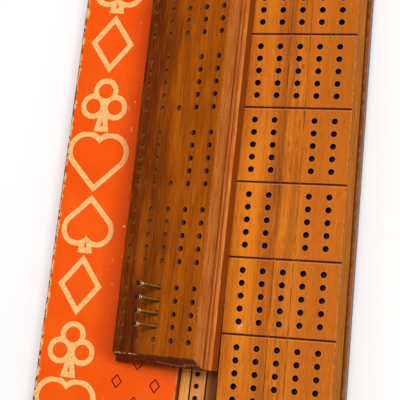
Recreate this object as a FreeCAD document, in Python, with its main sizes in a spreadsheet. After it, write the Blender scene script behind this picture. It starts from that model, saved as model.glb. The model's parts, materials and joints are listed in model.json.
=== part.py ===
"""Boxed cribbage set: a wooden cribbage box with a drawer, a moulded board that leans on it,
four brass pegs, a narrow inlaid scoring strip and a printed card carton with its own tray.

Frame: millimetres, +Z up, +Y towards the far end of the box, +X to its right.
Origin: centre of the underside of the wooden box.
"""
import FreeCAD, Part
import math
import os
from types import SimpleNamespace

import Sketcher

Vector = FreeCAD.Vector
Placement = FreeCAD.Placement
Rotation = FreeCAD.Rotation
Z_AXIS = Vector(0, 0, 1)

# ---------------------------------------------------------------- driving dimensions

DRIVING = {
    # wooden box
    "box_height": 46.0,
    "box_side_margin": 10.3,
    "box_end_margin": 17.4625,
    "top_thickness": 9.5,
    "top_rounding": 0.8,
    "side_thickness": 4.0,
    "end_thickness": 5.0,
    "base_thickness": 8.0,
    "base_lip": 1.5,
    "base_rounding": 1.2,
    "shadow_groove_height": 4.0,
    "shadow_groove_depth": 1.5,
    "felt_thickness": 1.0,
    "felt_inset": 2.5,
    # peg holes and section kerfs of the box top
    "box_column_pitch": 12.7,
    "box_row_pitch": 7.9375,
    "box_section_gap": 15.875,
    "box_hole_diameter": 4.0,
    "box_hole_depth": 7.0,
    "kerf_width": 1.0,
    "kerf_depth": 1.2,
    # drawer
    "drawer_clearance": 0.3,
    "drawer_front_thickness": 8.0,
    "drawer_side_thickness": 2.5,
    "drawer_back_thickness": 2.5,
    "drawer_bottom_thickness": 2.0,
    "drawer_back_gap": 2.0,
    "divider_thickness": 2.0,
    "divider_drop": 4.0,
    "runner_width": 5.0,
    "runner_height": 1.5,
    # knob and its screw
    "knob_foot_radius": 5.0,
    "knob_foot_height": 1.2,
    "knob_foot_slope": 1.0,
    "knob_neck_radius": 2.8,
    "knob_neck_length": 1.2,
    "knob_ball_radius": 6.2,
    "screw_radius": 1.5,
    "screw_clearance": 0.1,
    "screw_grip": 6.0,
    "screw_tip_gap": 1.0,
    "screw_chamfer": 0.6,
    "screw_head_radius": 3.0,
    "screw_head_height": 1.8,
    "screw_slot_width": 0.8,
    "screw_slot_depth": 0.9,
    # leaning board
    "board_side_margin": 4.98,
    "board_end_margin": 10.13,
    "board_wall_height": 11.5,
    "board_edge_height": 7.0,
    "board_ledge": 6.0,
    "board_end_bevel": 5.7,
    "board_rounding": 0.7,
    "bead_gap": 0.5,
    "inner_bead_width": 2.1,
    "bead_rise": 0.9,
    "board_column_pitch": 13.06,
    "board_row_pitch": 8.16,
    "board_section_gap": 16.32,
    "board_hole_depth": 8.0,
    "board_turn": 1.25,
    "board_shift": 36.0,
    "board_overlap": 6.0,
    "board_rest_gap": 0.3,
    # brass pegs
    "peg_length": 31.5,
    "peg_shank_radius": 1.5,
    "peg_neck_radius": 1.2,
    "peg_straight": 9.5,
    "peg_clearance": 0.35,
    "peg_seat_gap": 0.3,
    "peg_head_radius": 1.4,
    "peg_head_length": 2.9,
    "peg_ring_radius": 1.55,
    "peg_ring_width": 0.9,
    "peg_ring_edge": 0.2,
    "peg_ring_gap": 1.2,
    "peg_neck_length": 0.2,
    # card carton
    "carton_width": 97.0,
    "carton_length": 322.0,
    "carton_height": 25.0,
    "carton_card": 0.9,
    "carton_turn": 2.2,
    "tray_clearance": 0.4,
    "tray_wall_drop": 1.0,
    # scoring strip, which stands between the carton and the box
    "strip_height": 20.5,
    "strip_width": 24.0,
    "strip_end_margin": 14.4,
    "strip_far_end": -7.4,
    "strip_box_gap": 1.1,
    "strip_carton_gap": 0.9,
    "strip_row_pitch": 7.7,
    "strip_section_gap": 15.4,
    "strip_hole_diameter": 3.4,
    "strip_hole_depth": 8.0,
    "strip_hole_offset": -1.2,
    "inlay_width": 1.2,
    "inlay_depth": 1.0,
    "inlay_spacing": 10.4,
}

ROWS_IN_SECTION = 5
SECTIONS = 6
STRIP_SECTIONS = 3
COMPARTMENTS = 3
PEG_COUNT = 4

doc = FreeCAD.newDocument("cribbage_set")
sheet = doc.addObject("Spreadsheet::Sheet", "Sizes")
for row, (alias, number) in enumerate(DRIVING.items(), start=1):
    sheet.set(f"A{row}", alias)
    sheet.set(f"B{row}", str(number))
    sheet.setAlias(f"B{row}", alias)
doc.recompute()


class Size:
    """A length with its value and the sheet expression that gives it."""

    def __init__(self, value, text):
        self.value = float(value)
        self.text = text

    @staticmethod
    def of(other):
        if isinstance(other, Size):
            return other
        return Size(other, f"({other})")

    def joined(self, other, sign, value):
        return Size(value, f"({self.text} {sign} {Size.of(other).text})")

    def __add__(self, other):
        return self.joined(other, "+", self.value + Size.of(other).value)

    def __sub__(self, other):
        return self.joined(other, "-", self.value - Size.of(other).value)

    def __mul__(self, other):
        return self.joined(other, "*", self.value * Size.of(other).value)

    def __truediv__(self, other):
        return self.joined(other, "/", self.value / Size.of(other).value)

    def __neg__(self):
        return Size(-self.value, f"(-1 * {self.text})")

    def root(self):
        return Size(math.sqrt(self.value), f"sqrt({self.text})")


s = SimpleNamespace(**{name: Size(sheet.get(name), f"Sizes.{name}") for name in DRIVING})
ZERO = Size(0, "0")
PAST = Size(1, "1")  # how far a cutter runs past the face that it cuts

pieces = []

# ---------------------------------------------------------------- ways of making a piece


def keep(piece, label):
    """Names a finished piece and puts it on the list that is exported."""
    piece.Label = label
    pieces.append(piece)
    return piece


def bind(target, **lengths):
    """Ties properties of an object to the sheet."""
    for name, length in lengths.items():
        target.setExpression(name, length.text)


def place_at(target, x=ZERO, y=ZERO, z=ZERO):
    """Ties an object's position to the sheet."""
    for axis, length in zip("xyz", (x, y, z)):
        target.setExpression(f"Placement.Base.{axis}", length.text)


def block(name, low, high):
    """A rectangular block between two corners, each an (x, y, z) of sizes."""
    part = doc.addObject("Part::Box", name)
    bind(part, Length=high[0] - low[0], Width=high[1] - low[1], Height=high[2] - low[2])
    place_at(part, *low)
    return part


def cut(name, base, tool):
    part = doc.addObject("Part::Cut", name)
    part.Base = base
    part.Tool = tool
    return part


def fuse(name, first, second):
    part = doc.addObject("Part::Fuse", name)
    part.Base = first
    part.Tool = second
    part.Refine = True
    return part


def origin_feature(body, role):
    return next(feature for feature in body.Origin.OriginFeatures if feature.Role == role)


def sketch_on(body, name, role, offset=None):
    """A sketch on one of the body's origin planes, lifted off it by an optional size."""
    sketch = body.newObject("Sketcher::SketchObject", name)
    sketch.AttachmentSupport = [(origin_feature(body, role), "")]
    sketch.MapMode = "FlatFace"
    if offset is not None:
        sketch.setExpression("AttachmentOffset.Base.z", offset.text)
    return sketch


def tie_point(sketch, geometry, end, x, y):
    """Fixes a point of the sketch at sizes measured from its origin."""
    for kind, length, axis in (("DistanceX", x, -2), ("DistanceY", y, -1)):
        if length.value == 0:
            sketch.addConstraint(Sketcher.Constraint("PointOnObject", geometry, end, axis))
        else:
            index = sketch.addConstraint(
                Sketcher.Constraint(kind, -1, 1, geometry, end, length.value))
            sketch.setExpression(f"Constraints[{index}]", length.text)


def outline(sketch, corners):
    """A closed outline, run anticlockwise. A corner is (x, y), or (x, y, radius) where the
    edge that leaves it is an arc of that radius which bulges outwards."""
    first = sketch.GeometryCount
    starts = []
    for index, corner in enumerate(corners):
        after = corners[(index + 1) % len(corners)]
        begin = Vector(corner[0].value, corner[1].value, 0)
        finish = Vector(after[0].value, after[1].value, 0)
        starts.append(1)
        if len(corner) == 2:
            sketch.addGeometry(Part.LineSegment(begin, finish), False)
            continue
        radius = corner[2]
        along = finish - begin
        rise = radius.value - math.sqrt(max(radius.value ** 2 - along.Length ** 2 / 4, 0))
        outwards = Vector(along.y, -along.x, 0).normalize()
        arc = sketch.addGeometry(
            Part.Arc(begin, begin + along * 0.5 + outwards * rise, finish), False)
        if sketch.getPoint(arc, 1).distanceToPoint(begin) > 1e-6:
            starts[index] = 2
        number = sketch.addConstraint(Sketcher.Constraint("Radius", arc, radius.value))
        sketch.setExpression(f"Constraints[{number}]", radius.text)
    for index in range(len(corners)):
        after = (index + 1) % len(corners)
        sketch.addConstraint(Sketcher.Constraint(
            "Coincident", first + index, 3 - starts[index], first + after, starts[after]))
    for index, corner in enumerate(corners):
        tie_point(sketch, first + index, starts[index], corner[0], corner[1])


def rectangle(sketch, x_low, x_high, y_low, y_high):
    outline(sketch, [(x_low, y_low), (x_high, y_low), (x_high, y_high), (x_low, y_high)])


def pad(body, name, sketch, length, both_ways=False):
    feature = body.newObject("PartDesign::Pad", name)
    feature.Profile = sketch
    feature.Midplane = both_ways
    bind(feature, Length=length)
    doc.recompute()
    return feature


def pocket(body, name, sketch, depth, both_ways=False):
    """A pocket, which must take something away."""
    before = body.Shape.Volume
    feature = body.newObject("PartDesign::Pocket", name)
    feature.Profile = sketch
    feature.Midplane = both_ways
    bind(feature, Length=depth)
    doc.recompute()
    if not body.Shape.Volume < before:
        raise RuntimeError(f"{body.Name}: {name} cut nothing")
    return feature


def turned(body, name, sketch):
    """A full turn of a half section about the sketch's upright axis."""
    feature = body.newObject("PartDesign::Revolution", name)
    feature.Profile = sketch
    feature.ReferenceAxis = (sketch, ["V_Axis"])
    feature.Angle = 360
    doc.recompute()
    return feature


def round_edges(body, name, radius, wanted):
    """Rounds the edges for which wanted(edge) is true."""
    base = body.Tip
    names = [f"Edge{i}" for i, edge in enumerate(base.Shape.Edges, start=1) if wanted(edge)]
    feature = body.newObject("PartDesign::Fillet", name)
    feature.Base = (base, names)
    bind(feature, Radius=radius)
    doc.recompute()
    return feature


def at_height(height):
    """Tells whether an edge lies flat at a height in its body."""
    def test(edge):
        box = edge.BoundBox
        return abs(box.ZMin - height.value) < 1e-6 and abs(box.ZMax - height.value) < 1e-6
    return test


def pattern(body, name, feature, steps):
    """Repeats a feature; each step is (axis role, pitch, count)."""
    repeat = body.newObject("PartDesign::MultiTransform", name)
    lines = []
    for number, (role, pitch, count) in enumerate(steps, start=1):
        line = body.newObject("PartDesign::LinearPattern", f"{name}_step_{number}")
        line.Direction = (origin_feature(body, role), [""])
        line.Mode = "Spacing"
        line.Occurrences = count
        bind(line, Offset=pitch)
        lines.append(line)
    repeat.Originals = [feature]
    repeat.Transformations = lines
    body.Tip = repeat
    doc.recompute()
    return repeat


def peg_holes(body, name, surface, diameter, depth, x, y, steps):
    """A blind hole at (x, y) in the surface, repeated by the steps."""
    sketch = sketch_on(body, f"{name}_circle", "XY_Plane", surface)
    circle = sketch.addGeometry(
        Part.Circle(Vector(x.value, y.value, 0), Z_AXIS, diameter.value / 2), False)
    index = sketch.addConstraint(Sketcher.Constraint("Diameter", circle, diameter.value))
    sketch.setExpression(f"Constraints[{index}]", diameter.text)
    tie_point(sketch, circle, 3, x, y)
    hole = pocket(body, f"{name}_first", sketch, depth)
    before = body.Shape.Volume
    pattern(body, name, hole, steps)
    if not body.Shape.Volume < before:
        raise RuntimeError(f"{body.Name}: {name} did not repeat")


def section_pitch_of(row_pitch, section_gap):
    """From one section of rows to the next."""
    return row_pitch * (ROWS_IN_SECTION - 1) + section_gap


def field_of(row_pitch, section_pitch, sections):
    """From the middle of a board to its last row of holes."""
    return section_pitch * ((sections - 1) / 2) + row_pitch * ((ROWS_IN_SECTION - 1) / 2)


# ---------------------------------------------------------------- wooden box

box_section_pitch = section_pitch_of(s.box_row_pitch, s.box_section_gap)
box_field = field_of(s.box_row_pitch, box_section_pitch, SECTIONS)
half_width = s.box_column_pitch * 2 + s.box_side_margin
half_length = box_field + s.box_end_margin
base_top = s.felt_thickness + s.base_thickness
top_underside = s.box_height - s.top_thickness
groove_top = base_top + s.shadow_groove_height
inner_half = half_width - s.side_thickness
front_inside = s.drawer_front_thickness - half_length
mouth = front_inside + s.drawer_clearance
end_inside = half_length - s.end_thickness


def make_box_top():
    """The scoring board that closes the box: kerfs between six sections of peg holes."""
    body = doc.addObject("PartDesign::Body", "box_top")
    slab = sketch_on(body, "box_top_outline", "XY_Plane")
    rectangle(slab, -half_width, half_width, -half_length, half_length)
    pad(body, "box_top_slab", slab, s.top_thickness)
    round_edges(body, "box_top_arris", s.top_rounding, at_height(s.top_thickness))

    first_kerf = box_section_pitch * (1 - SECTIONS / 2)
    kerf = sketch_on(body, "kerf_outline", "XY_Plane", s.top_thickness)
    rectangle(kerf, -half_width - PAST, half_width + PAST,
              first_kerf - s.kerf_width / 2, first_kerf + s.kerf_width / 2)
    first = pocket(body, "kerf_first", kerf, s.kerf_depth)
    pattern(body, "kerfs", first, [("Y_Axis", box_section_pitch, SECTIONS - 1)])

    peg_holes(body, "outer_holes", s.top_thickness, s.box_hole_diameter, s.box_hole_depth,
              s.box_column_pitch * -2, -box_field,
              [("X_Axis", s.box_column_pitch, 2), ("X_Axis", s.box_column_pitch * 3, 2),
               ("Y_Axis", s.box_row_pitch, ROWS_IN_SECTION),
               ("Y_Axis", box_section_pitch, SECTIONS)])
    peg_holes(body, "centre_holes", s.top_thickness, s.box_hole_diameter, s.box_hole_depth,
              ZERO, -box_field,
              [("Y_Axis", s.box_row_pitch, ROWS_IN_SECTION),
               ("Y_Axis", box_section_pitch, 2),
               ("Y_Axis", box_section_pitch * (SECTIONS - 2), 2)])
    place_at(body, z=top_underside)
    keep(body, "box_top")


def make_box_side(label, hand):
    """A side wall with the shadow groove along its foot. hand is 1 on the right, -1 left."""
    body = doc.addObject("PartDesign::Body", label)
    section = sketch_on(body, f"{label}_section", "XZ_Plane")
    outer = half_width * hand
    grooved = (half_width - s.shadow_groove_depth) * hand
    inner = inner_half * hand
    outline(section, [(inner, base_top), (grooved, base_top), (grooved, groove_top),
                      (outer, groove_top), (outer, top_underside), (inner, top_underside)])
    pad(body, f"{label}_wall", section, end_inside - mouth, both_ways=True)
    place_at(body, y=(end_inside + mouth) / 2)
    keep(body, label)


def grooved_panel(name, y_inside, y_outside, foot, head):
    """An end panel of the box with the shadow groove round its three outer faces."""
    toward = 1 if y_outside.value > y_inside.value else -1
    y_grooved = y_outside - s.shadow_groove_depth * toward
    grooved_half = half_width - s.shadow_groove_depth

    def slab(part_name, half, y_face, low, high):
        y_low, y_high = (y_inside, y_face) if toward > 0 else (y_face, y_inside)
        return block(part_name, (-half, y_low, low), (half, y_high, high))

    panel = slab(f"{name}_panel", half_width, y_outside, groove_top, head)
    neck = slab(f"{name}_neck", grooved_half, y_grooved, foot, groove_top)
    return fuse(name, panel, neck)


def make_box_base():
    """The base board, which stands out as a lip all round."""
    body = doc.addObject("PartDesign::Body", "box_base")
    slab = sketch_on(body, "box_base_outline", "XY_Plane")
    rectangle(slab, -half_width - s.base_lip, half_width + s.base_lip,
              -half_length - s.base_lip, half_length + s.base_lip)
    pad(body, "box_base_slab", slab, s.base_thickness)
    round_edges(body, "box_base_rounding", s.base_rounding, at_height(s.base_thickness))
    place_at(body, z=s.felt_thickness)
    keep(body, "box_base")


make_box_top()
make_box_side("box_side_left", -1)
make_box_side("box_side_right", 1)
keep(grooved_panel("box_end", end_inside, half_length, base_top, top_underside), "box_end")
make_box_base()
keep(block("base_felt",
           (s.felt_inset - half_width, s.felt_inset - half_length, ZERO),
           (half_width - s.felt_inset, half_length - s.felt_inset, s.felt_thickness)),
     "base_felt")
for label, hand in (("runner_left", -1), ("runner_right", 1)):
    edges = sorted(((inner_half - s.runner_width) * hand, inner_half * hand),
                   key=lambda size: size.value)
    keep(block(label, (edges[0], mouth, base_top),
               (edges[1], end_inside, base_top + s.runner_height)), label)

# ---------------------------------------------------------------- drawer

drawer_half = inner_half - s.drawer_clearance
drawer_inner_half = drawer_half - s.drawer_side_thickness
drawer_floor = base_top + s.runner_height + s.drawer_clearance
drawer_rim = top_underside - s.drawer_clearance
drawer_far = end_inside - s.drawer_back_gap
compartment_floor = drawer_floor + s.drawer_bottom_thickness
knob_height = (groove_top + drawer_rim) / 2


def make_drawer_front():
    """The front, which covers the mouth of the box, bored for the knob's screw."""
    front = grooved_panel("drawer_front_blank", front_inside, -half_length,
                          base_top + s.drawer_clearance, drawer_rim)
    bore = doc.addObject("Part::Cylinder", "knob_screw_bore")
    bind(bore, Radius=s.screw_radius + s.screw_clearance,
         Height=s.drawer_front_thickness + PAST * 2)
    bore.Placement = Placement(Vector(), Rotation(Vector(1, 0, 0), 90))
    place_at(bore, y=front_inside + PAST, z=knob_height)
    keep(cut("drawer_front", front, bore), "drawer_front")


def make_knob():
    """A turned brass knob with a blind bore for its screw; it points out of the front."""
    body = doc.addObject("PartDesign::Body", "drawer_knob")
    section = sketch_on(body, "knob_section", "XZ_Plane")
    bore = s.screw_radius + s.screw_clearance
    bore_end = s.screw_grip + s.screw_tip_gap
    neck = s.knob_neck_radius
    ball = s.knob_ball_radius
    slope_top = s.knob_foot_height + s.knob_foot_slope
    neck_top = slope_top + s.knob_neck_length
    ball_centre = neck_top + (ball * ball - neck * neck).root()
    outline(section, [
        (bore, ZERO),
        (s.knob_foot_radius, ZERO),
        (s.knob_foot_radius, s.knob_foot_height),
        (neck, slope_top),
        (neck, neck_top, ball),
        (ball, ball_centre, ball),
        (ZERO, ball_centre + ball),
        (ZERO, bore_end),
        (bore, bore_end),
    ])
    turned(body, "knob_turning", section)
    body.Placement = Placement(Vector(), Rotation(Vector(1, 0, 0), 90))
    place_at(body, y=-half_length, z=knob_height)
    keep(body, "drawer_knob")


def make_knob_screw():
    """A slotted screw from inside the drawer into the knob."""
    body = doc.addObject("PartDesign::Body", "drawer_knob_screw")
    section = sketch_on(body, "screw_section", "XZ_Plane")
    tip = s.drawer_front_thickness + s.screw_grip
    outline(section, [
        (ZERO, -s.screw_head_height),
        (s.screw_head_radius - s.screw_chamfer, -s.screw_head_height),
        (s.screw_head_radius, s.screw_chamfer - s.screw_head_height),
        (s.screw_head_radius, ZERO),
        (s.screw_radius, ZERO),
        (s.screw_radius, tip - s.screw_chamfer),
        (s.screw_radius - s.screw_chamfer, tip),
        (ZERO, tip),
    ])
    turned(body, "screw_turning", section)
    slot = sketch_on(body, "screw_slot_outline", "XZ_Plane")
    half_slot = s.screw_slot_width / 2
    rectangle(slot, -half_slot, half_slot, -s.screw_head_height - PAST,
              s.screw_slot_depth - s.screw_head_height)
    pocket(body, "screw_slot", slot, s.screw_head_radius * 2 + PAST, both_ways=True)
    body.Placement = Placement(Vector(), Rotation(Vector(1, 0, 0), 90))
    place_at(body, y=front_inside, z=knob_height)
    keep(body, "drawer_knob_screw")


make_drawer_front()
for label, hand in (("drawer_side_left", -1), ("drawer_side_right", 1)):
    edges = sorted((drawer_inner_half * hand, drawer_half * hand), key=lambda size: size.value)
    keep(block(label, (edges[0], front_inside, drawer_floor),
               (edges[1], drawer_far, drawer_rim)), label)
keep(block("drawer_bottom", (-drawer_inner_half, front_inside, drawer_floor),
           (drawer_inner_half, drawer_far, compartment_floor)), "drawer_bottom")
keep(block("drawer_back",
           (-drawer_inner_half, drawer_far - s.drawer_back_thickness, compartment_floor),
           (drawer_inner_half, drawer_far, drawer_rim)), "drawer_back")
compartment_pitch = (drawer_far - s.drawer_back_thickness - front_inside) / COMPARTMENTS
for number in range(1, COMPARTMENTS):
    middle = front_inside + compartment_pitch * number
    keep(block(f"drawer_divider_{number}",
               (-drawer_inner_half, middle - s.divider_thickness / 2, compartment_floor),
               (drawer_inner_half, middle + s.divider_thickness / 2,
                drawer_rim - s.divider_drop)),
         f"drawer_divider_{number}")
make_knob()
make_knob_screw()

# ---------------------------------------------------------------- scoring strip

strip_section_pitch = section_pitch_of(s.strip_row_pitch, s.strip_section_gap)
strip_field = field_of(s.strip_row_pitch, strip_section_pitch, STRIP_SECTIONS)
strip_half = s.strip_width / 2
strip_reach = strip_field + s.strip_end_margin
askew = Rotation(Z_AXIS, -s.carton_turn.value)
strip_far_corner = Vector(
    -(half_width + s.base_lip + s.strip_box_gap).value, s.strip_far_end.value, 0)
strip_place = Placement(
    strip_far_corner - askew.multVec(Vector(strip_half.value, strip_reach.value, 0)), askew)


def make_strip():
    """A narrow board with one column of holes between two let-in lines."""
    body = doc.addObject("PartDesign::Body", "strip_board")
    slab = sketch_on(body, "strip_outline", "XY_Plane")
    rectangle(slab, -strip_half, strip_half, -strip_reach, strip_reach)
    pad(body, "strip_slab", slab, s.strip_height)
    rebate = sketch_on(body, "inlay_rebate_outline", "XY_Plane", s.strip_height)
    for hand in (-1, 1):
        middle = s.inlay_spacing / 2 * hand
        rectangle(rebate, middle - s.inlay_width / 2, middle + s.inlay_width / 2,
                  -strip_reach - PAST, strip_reach + PAST)
    pocket(body, "inlay_rebates", rebate, s.inlay_depth)
    peg_holes(body, "strip_holes", s.strip_height, s.strip_hole_diameter, s.strip_hole_depth,
              s.strip_hole_offset, -strip_field,
              [("Y_Axis", s.strip_row_pitch, ROWS_IN_SECTION),
               ("Y_Axis", strip_section_pitch, STRIP_SECTIONS)])
    body.Placement = strip_place
    keep(body, "strip_board")


def make_inlay(label, hand):
    """A dark line let in flush with the strip's top."""
    body = doc.addObject("PartDesign::Body", label)
    middle = s.inlay_spacing / 2 * hand
    section = sketch_on(body, f"{label}_section", "XZ_Plane")
    rectangle(section, middle - s.inlay_width / 2, middle + s.inlay_width / 2,
              s.strip_height - s.inlay_depth, s.strip_height)
    pad(body, f"{label}_line", section, strip_reach * 2, both_ways=True)
    body.Placement = strip_place
    keep(body, label)


make_strip()
make_inlay("inlay_left", -1)
make_inlay("inlay_right", 1)

# ---------------------------------------------------------------- card carton and its tray

carton_half = s.carton_width / 2
carton_reach = s.carton_length / 2
beside_strip = strip_half + s.strip_carton_gap + carton_half
carton_middle = strip_place.Base - askew.multVec(Vector(beside_strip.value, 0, 0))
carton_lengthwise = askew.multVec(Vector(0, 1, 0))
carton_place = Placement(
    carton_middle - carton_lengthwise * (carton_middle.y / carton_lengthwise.y), askew)


def make_carton_sleeve():
    """The printed sleeve, open at both ends."""
    shell = block("sleeve_outside", (-carton_half, -carton_reach, ZERO),
                  (carton_half, carton_reach, s.carton_height))
    hollow = block("sleeve_inside",
                   (s.carton_card - carton_half, -carton_reach - PAST, s.carton_card),
                   (carton_half - s.carton_card, carton_reach + PAST,
                    s.carton_height - s.carton_card))
    sleeve = cut("carton_sleeve", shell, hollow)
    sleeve.Placement = carton_place
    keep(sleeve, "carton_sleeve")


def make_carton_tray():
    """The plain card tray that slides in the sleeve."""
    play = s.carton_card + s.tray_clearance
    half = carton_half - play
    reach = carton_reach - s.tray_clearance
    rim = s.carton_height - play - s.tray_wall_drop
    shell = block("tray_outside", (-half, -reach, play), (half, reach, rim))
    hollow = block("tray_inside",
                   (s.carton_card - half, s.carton_card - reach, play + s.carton_card),
                   (half - s.carton_card, reach - s.carton_card, rim + PAST))
    tray = cut("carton_tray", shell, hollow)
    tray.Placement = carton_place
    keep(tray, "carton_tray")


make_carton_sleeve()
make_carton_tray()

# ---------------------------------------------------------------- leaning board and pegs

board_section_pitch = section_pitch_of(s.board_row_pitch, s.board_section_gap)
board_field = field_of(s.board_row_pitch, board_section_pitch, SECTIONS)
board_half_top = s.board_column_pitch * 2 + s.board_side_margin
board_half_base = board_half_top + s.board_ledge
board_top_reach = board_field + s.board_end_margin
board_base_reach = board_top_reach + s.board_end_bevel
board_height = s.board_wall_height + s.board_edge_height


def leaning_place():
    """The board leans: its right side lies on the box's top left arris, and its lower left
    edge on the carton. It is turned a little, so it meets the arris at the box's far end."""
    rise = s.box_height - s.carton_height
    edge_to_arris = board_half_base * 2 - s.board_overlap
    lean = math.degrees(math.asin((rise / edge_to_arris).value))
    turn = Rotation(Z_AXIS, -s.board_turn.value).multiply(Rotation(Vector(0, 1, 0), -lean))
    across = (board_half_base - s.board_overlap).value
    contact = Vector(-half_width.value, half_length.value,
                     (s.box_height + s.board_rest_gap).value)
    middle_to_contact = contact.y - s.board_shift.value
    lengthwise = turn.multVec(Vector(0, 1, 0))
    along = (middle_to_contact - turn.multVec(Vector(across, 0, 0)).y) / lengthwise.y
    return Placement(contact - turn.multVec(Vector(across, along, 0)), turn)


def beaded_side(hand):
    """One side of the section, from the foot of the wall out to the base: a small bead and
    a large one, each after a fine groove. The left side is the right side's mirror image."""
    low = s.board_edge_height - s.bead_rise
    edges = [board_half_top]
    for width in (s.bead_gap, s.inner_bead_width, s.bead_gap):
        edges.append(edges[-1] + width)
    edges.append(board_half_base)
    corners = [[edge * hand, low] for edge in edges]
    for bead in (1, 3):
        width = edges[bead + 1] - edges[bead]
        radius = width * width / (s.bead_rise * 8) + s.bead_rise / 2
        starts_arc = bead if hand < 0 else bead + 1
        corners[starts_arc].append(radius)
    return corners


def make_leaning_board():
    """A solid board with a beaded ledge along both long sides and bevelled ends."""
    body = doc.addObject("PartDesign::Body", "leaning_board")
    section = sketch_on(body, "leaning_board_section", "XZ_Plane")
    outline(section, [(-board_half_base, ZERO), (board_half_base, ZERO)]
            + beaded_side(1)[::-1]
            + [(board_half_top, board_height), (-board_half_top, board_height)]
            + beaded_side(-1))
    pad(body, "leaning_board_blank", section, board_base_reach * 2, both_ways=True)

    bevel = sketch_on(body, "end_bevel_outline", "YZ_Plane")
    outline(bevel, [(board_top_reach, board_height),
                    (board_base_reach, s.board_edge_height),
                    (board_base_reach + PAST, s.board_edge_height),
                    (board_base_reach + PAST, board_height + PAST),
                    (board_top_reach, board_height + PAST)])
    first = pocket(body, "end_bevel", bevel, (board_half_base + PAST) * 2, both_ways=True)
    mirror = body.newObject("PartDesign::Mirrored", "far_end_bevel")
    mirror.Originals = [first]
    mirror.MirrorPlane = (origin_feature(body, "XZ_Plane"), [""])
    body.Tip = mirror
    doc.recompute()
    round_edges(body, "leaning_board_arris", s.board_rounding, at_height(board_height))

    diameter = (s.peg_shank_radius + s.peg_clearance) * 2
    peg_holes(body, "outer_holes", board_height, diameter, s.board_hole_depth,
              s.board_column_pitch * -2, -board_field,
              [("X_Axis", s.board_column_pitch, 2), ("X_Axis", s.board_column_pitch * 3, 2),
               ("Y_Axis", s.board_row_pitch, ROWS_IN_SECTION),
               ("Y_Axis", board_section_pitch, SECTIONS)])
    peg_holes(body, "centre_holes", board_height, diameter, s.board_hole_depth,
              ZERO, -board_field,
              [("Y_Axis", s.board_row_pitch, ROWS_IN_SECTION),
               ("Y_Axis", board_section_pitch, 2),
               ("Y_Axis", board_section_pitch * (SECTIONS - 2), 2)])
    peg_holes(body, "middle_holes", board_height, diameter, s.board_hole_depth,
              ZERO, board_section_pitch * 2 - board_field, [("Y_Axis", board_section_pitch, 2)])
    body.Placement = board_place
    keep(body, "leaning_board")


def make_peg(number):
    """A turned brass peg in the board's centre column: domed head, two rings, tapered shank."""
    label = f"peg_{number}"
    body = doc.addObject("PartDesign::Body", label)
    section = sketch_on(body, f"{label}_section", "XZ_Plane")
    shank = s.peg_shank_radius
    neck = s.peg_neck_radius
    ring = s.peg_ring_radius
    head = s.peg_head_radius
    head_foot = s.peg_length - s.peg_head_length
    upper_ring = head_foot - s.peg_neck_length - s.peg_ring_width
    corners = [(ZERO, ZERO), (shank, ZERO), (shank, s.peg_straight)]
    for foot in (upper_ring - s.peg_ring_gap - s.peg_ring_width, upper_ring):
        top = foot + s.peg_ring_width
        corners += [(neck, foot), (ring, foot + s.peg_ring_edge),
                    (ring, top - s.peg_ring_edge), (neck, top)]
    corners += [(neck, head_foot), (head, head_foot), (head, s.peg_length - head, head),
                (ZERO, s.peg_length)]
    outline(section, corners)
    turned(body, f"{label}_turning", section)
    row = s.board_row_pitch * (ROWS_IN_SECTION - number) - board_field
    seat = board_height - s.board_hole_depth + s.peg_seat_gap
    body.Placement = board_place.multiply(
        Placement(Vector(0, row.value, seat.value), Rotation()))
    keep(body, label)


board_place = leaning_place()
make_leaning_board()
for peg_number in range(1, PEG_COUNT + 1):
    make_peg(peg_number)

# ---------------------------------------------------------------- checks and export

doc.recompute()
for item in doc.Objects:
    if "Invalid" in item.State or "Error" in item.State:
        raise RuntimeError(f"{item.Label} did not recompute: {item.State}")
for piece in pieces:
    if piece.Shape.isNull() or not piece.Shape.isValid():
        raise RuntimeError(f"{piece.Label} has no valid shape")

os.makedirs("parts", exist_ok=True)
for piece in pieces:
    piece.Shape.exportStep(os.path.join("parts", f"{piece.Label}.step"))
print(f"{len(pieces)} pieces written")
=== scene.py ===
import json
import math

import bmesh
import bpy
from mathutils import Matrix, Vector


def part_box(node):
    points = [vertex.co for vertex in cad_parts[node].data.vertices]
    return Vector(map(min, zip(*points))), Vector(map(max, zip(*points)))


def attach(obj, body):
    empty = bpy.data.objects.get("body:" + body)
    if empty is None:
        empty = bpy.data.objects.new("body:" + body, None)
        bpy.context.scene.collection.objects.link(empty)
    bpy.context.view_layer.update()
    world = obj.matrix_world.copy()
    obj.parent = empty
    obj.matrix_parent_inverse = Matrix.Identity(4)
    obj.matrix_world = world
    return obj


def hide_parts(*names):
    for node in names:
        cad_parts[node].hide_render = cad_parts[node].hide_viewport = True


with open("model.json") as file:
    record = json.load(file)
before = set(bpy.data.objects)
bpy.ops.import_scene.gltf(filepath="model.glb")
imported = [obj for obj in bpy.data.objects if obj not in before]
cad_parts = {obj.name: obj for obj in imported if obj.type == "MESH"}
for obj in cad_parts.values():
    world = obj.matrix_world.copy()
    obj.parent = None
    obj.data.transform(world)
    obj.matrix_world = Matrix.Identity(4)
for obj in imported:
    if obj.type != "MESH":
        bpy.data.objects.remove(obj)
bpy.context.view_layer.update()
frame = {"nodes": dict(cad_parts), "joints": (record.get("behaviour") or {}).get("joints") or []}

# ---------------------------------------------------------------- box top
# The pegging board that closes the box. Three staves of oiled orange-brown hardwood are glued
# edge to edge and planed flush, then drilled on an inch grid and crossed by five saw kerfs.


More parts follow.
